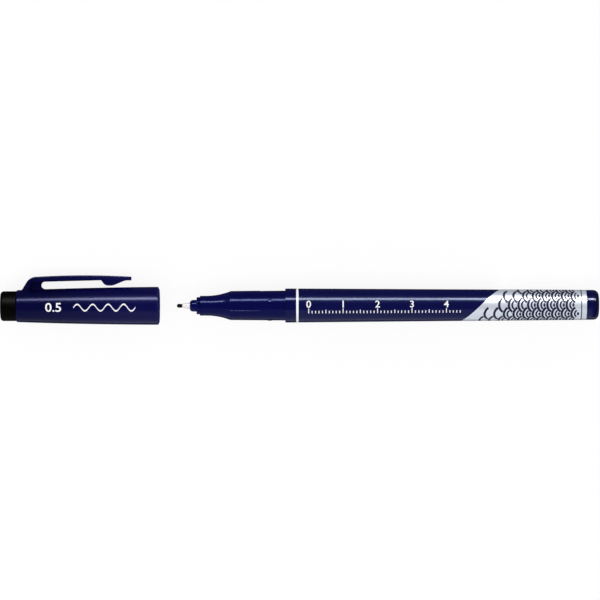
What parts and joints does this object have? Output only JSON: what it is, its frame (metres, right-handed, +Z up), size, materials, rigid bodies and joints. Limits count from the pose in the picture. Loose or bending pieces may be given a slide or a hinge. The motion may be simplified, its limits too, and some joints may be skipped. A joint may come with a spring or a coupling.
{
  "type": "fineliner pen",
  "caption": "Slim capped fibre-tip pen: tapered barrel, stepped grip, round tail plug, sheathed nib, pull-off cap with a moulded spring clip and a rubber end.",
  "frame": {"origin": "on the pen's axis at the front face of the collar, where the mouth of the seated cap stops", "axes": "+X along the pen's axis from cap to tail; +Z up from the table that the pen lies on, resting on the rim of the cap's mouth and an edge of the clip"},
  "size_m": [0.1744, 0.0142, 0.011],
  "materials": {
    "navy_plastic": "glossy injection-moulded polypropylene, deep navy",
    "white_plastic": "smooth white moulded plastic",
    "natural_plastic": "uncoloured milky polyethylene",
    "nib_fibre": "bonded fibre point soaked with dark ink",
    "ink_fibre": "bundled polyester fibre soaked with ink",
    "reservoir_film": "thin clear wrap film",
    "black_rubber": "satin black elastomer",
    "silver_foil": "silver foil print on the barrel"
  },
  "bodies": {
    "pen": {"barrel": "navy_plastic", "tail_plug": "navy_plastic", "grip_section": "navy_plastic", "trim_ring": "white_plastic", "nib_holder": "navy_plastic", "nib_sheath": "white_plastic", "nib": "nib_fibre", "ink_reservoir": "ink_fibre", "reservoir_film": "reservoir_film"},
    "cap": {"cap_shell": "navy_plastic", "inner_cap": "natural_plastic", "eraser": "black_rubber"}
  },
  "joints": [
    {"name": "cap_slide", "type": "slide", "parent": "pen", "child": "cap", "axis": [1, 0, 0], "range_m": [0, 0.0365]}
  ]
}
